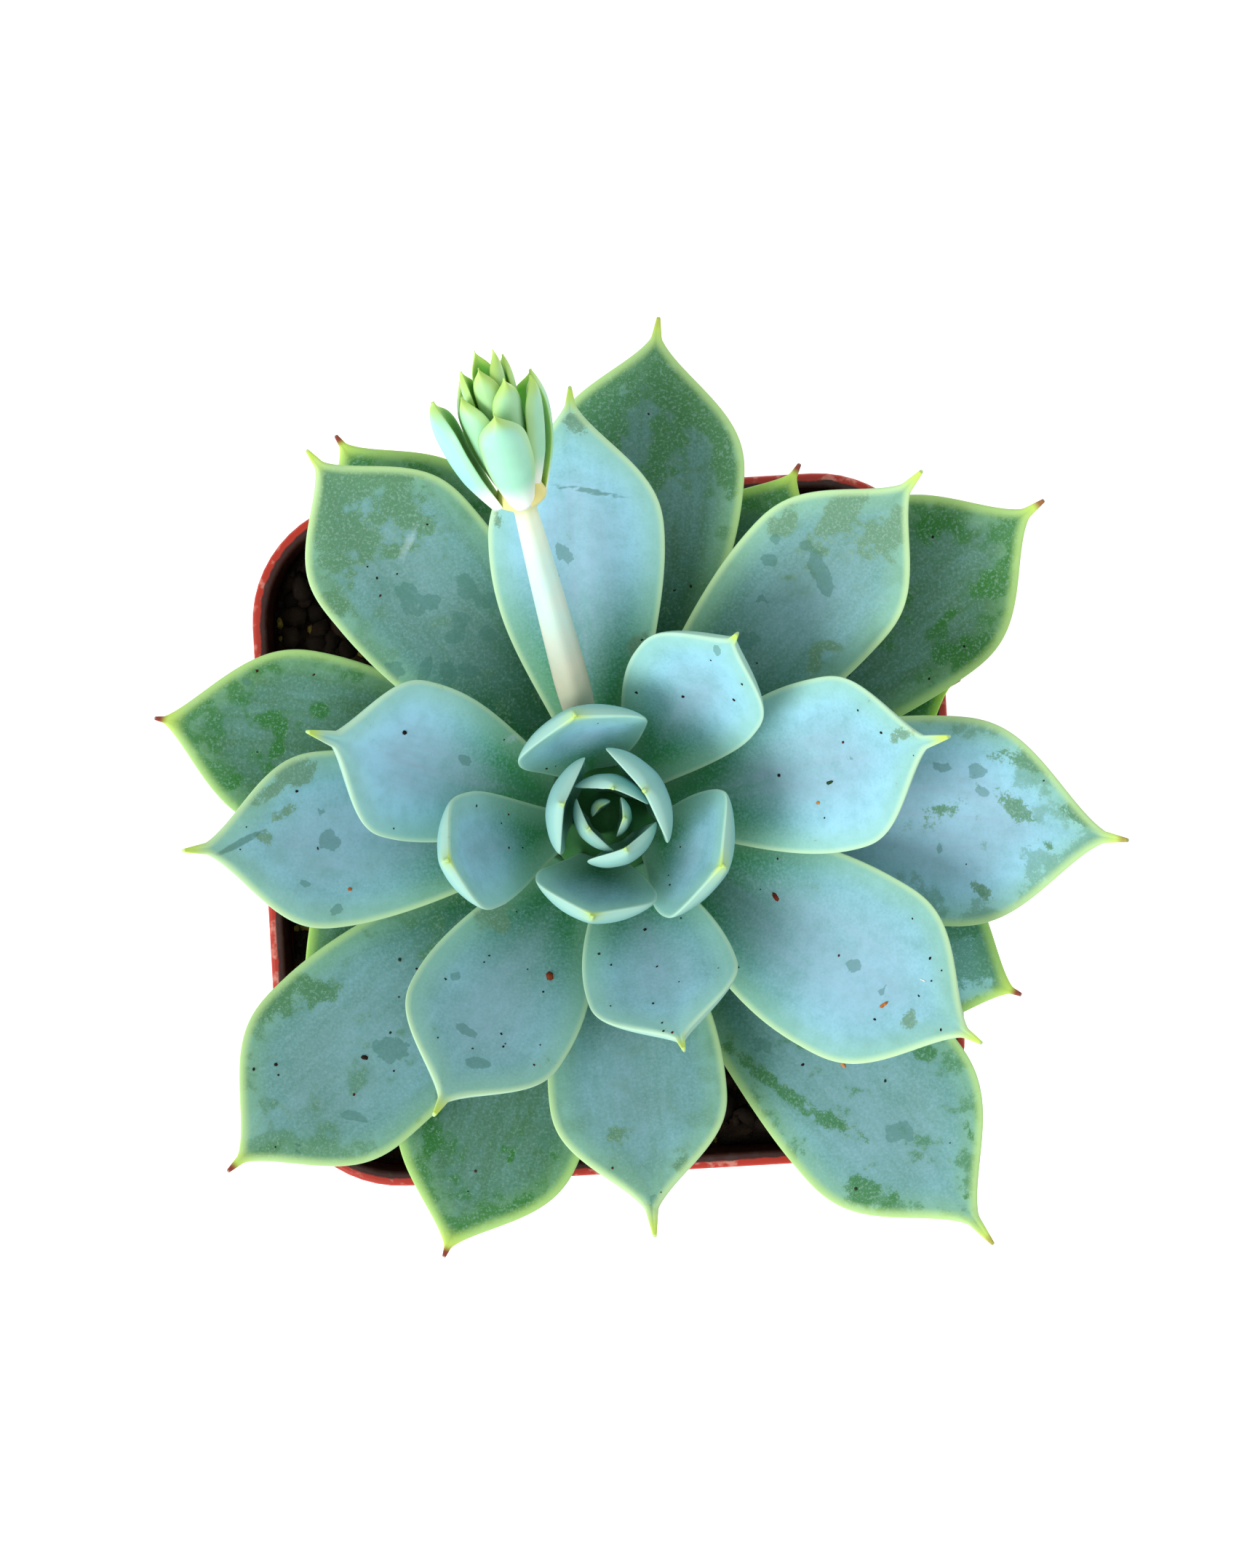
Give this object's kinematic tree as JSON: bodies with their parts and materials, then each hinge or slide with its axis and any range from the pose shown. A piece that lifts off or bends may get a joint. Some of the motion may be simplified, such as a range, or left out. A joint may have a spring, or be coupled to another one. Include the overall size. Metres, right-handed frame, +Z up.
{
  "type": "potted rosette succulent",
  "caption": "Square plastic nursery pot of soil holding a pointed-leaf blue-green rosette succulent with a young flower stalk; stands free on its base.",
  "frame": {"origin": "middle of the pot's underside", "axes": "+Z up, X and Y along the pot's sides, the flower stalk leans towards +Y"},
  "size_m": [0.1218, 0.1192, 0.1345],
  "materials": {
    "pot_plastic": "satin",
    "potting_mix": "matte",
    "stem": "matte",
    "stalk": "satin",
    "leaf_heart": "matte",
    "leaf_inner": "matte",
    "leaf_outer": "matte",
    "leaf_old": "matte",
    "bract": "matte"
  },
  "bodies": {
    "root": {"pot": "pot_plastic", "soil": "potting_mix", "stem": "stem", "flower_stalk": "stalk", "leaf_00": "leaf_heart", "leaf_01": "leaf_heart", "leaf_02": "leaf_heart", "leaf_03": "leaf_heart", "leaf_04": "leaf_heart", "leaf_05": "leaf_heart", "leaf_06": "leaf_inner", "leaf_07": "leaf_inner", "leaf_08": "leaf_inner", "leaf_09": "leaf_inner", "leaf_10": "leaf_inner", "leaf_11": "leaf_inner", "leaf_12": "leaf_inner", "leaf_13": "leaf_inner", "leaf_14": "leaf_inner", "leaf_15": "leaf_inner", "leaf_16": "leaf_inner", "leaf_17": "leaf_outer", "leaf_18": "leaf_outer", "leaf_19": "leaf_outer", "leaf_20": "leaf_outer", "leaf_21": "leaf_outer", "leaf_22": "leaf_outer", "leaf_23": "leaf_outer", "leaf_24": "leaf_outer", "leaf_25": "leaf_outer", "leaf_26": "leaf_old", "leaf_27": "leaf_old", "leaf_28": "leaf_old", "leaf_29": "leaf_old", "leaf_30": "leaf_old", "leaf_31": "leaf_old", "leaf_32": "leaf_old", "leaf_35": "leaf_old", "bract_01": "bract", "bract_02": "bract", "bract_03": "bract", "bract_04": "bract", "bract_05": "bract", "bract_06": "bract", "bract_07": "bract", "bract_08": "bract", "bract_09": "bract", "bract_10": "bract", "bract_11": "bract", "bract_12": "bract", "bract_13": "bract"}
  },
  "joints": []
}
